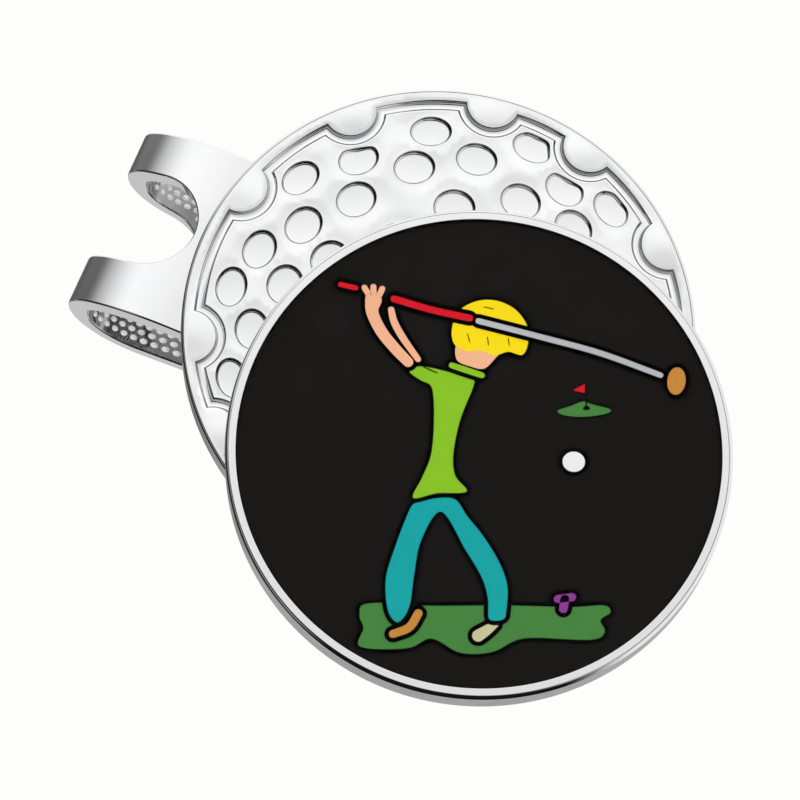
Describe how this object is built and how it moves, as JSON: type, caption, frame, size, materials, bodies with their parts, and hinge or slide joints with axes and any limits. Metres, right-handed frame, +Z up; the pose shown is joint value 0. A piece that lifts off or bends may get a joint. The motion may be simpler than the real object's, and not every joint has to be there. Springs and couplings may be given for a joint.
{
  "type": "golf ball marker with cap clip",
  "caption": "Round magnetic golf ball marker, printed and resin coated, on a dimpled metal plate with a forked spring clip for a cap's brim.",
  "frame": {"origin": "on the round plate's axis, on the back face of the clip's leg, where a cap's brim lies", "axes": "+Z up as the printed picture stands, -Y the way the printed face looks, +Y towards the clip's tongue, +X to the right seen from the front"},
  "size_m": [0.0337, 0.0105, 0.0326],
  "materials": {
    "plated_zinc": "polished nickel plate on die-cast zinc",
    "plated_spring_steel": "polished nickel plate on spring steel",
    "plated_coin_steel": "polished nickel plate on steel",
    "rivet_steel": "satin",
    "magnet_nickel": "satin nickel",
    "adhesive": "cured epoxy",
    "black_print": "printed film",
    "clear_epoxy": "clear gloss"
  },
  "bodies": {
    "hat_clip": {"clip_disc": "plated_zinc", "magnet": "magnet_nickel", "magnet_adhesive": "adhesive", "spring_clip_leg": "plated_spring_steel", "clip_rivet_outer": "rivet_steel", "clip_rivet_inner": "rivet_steel"},
    "clip_tongue": {"spring_clip_tongue": "plated_spring_steel"},
    "ball_marker": {"marker_coin": "plated_coin_steel", "print_insert": "black_print", "clear_resin": "clear_epoxy"}
  },
  "joints": [
    {"name": "marker_slide", "type": "slide", "parent": "hat_clip", "child": "ball_marker", "axis": [-0.2717, 0, 0.9624], "range_m": [-0.0192, 0.00707]},
    {"name": "tongue_flex", "type": "hinge", "parent": "hat_clip", "child": "clip_tongue", "pos_m": [-0.01665, 0.00215, 0.00716], "axis": [0.3827, 0, 0.9239], "range_deg": [0, 9], "stiffness_Nm_per_rad": 0.1}
  ]
}
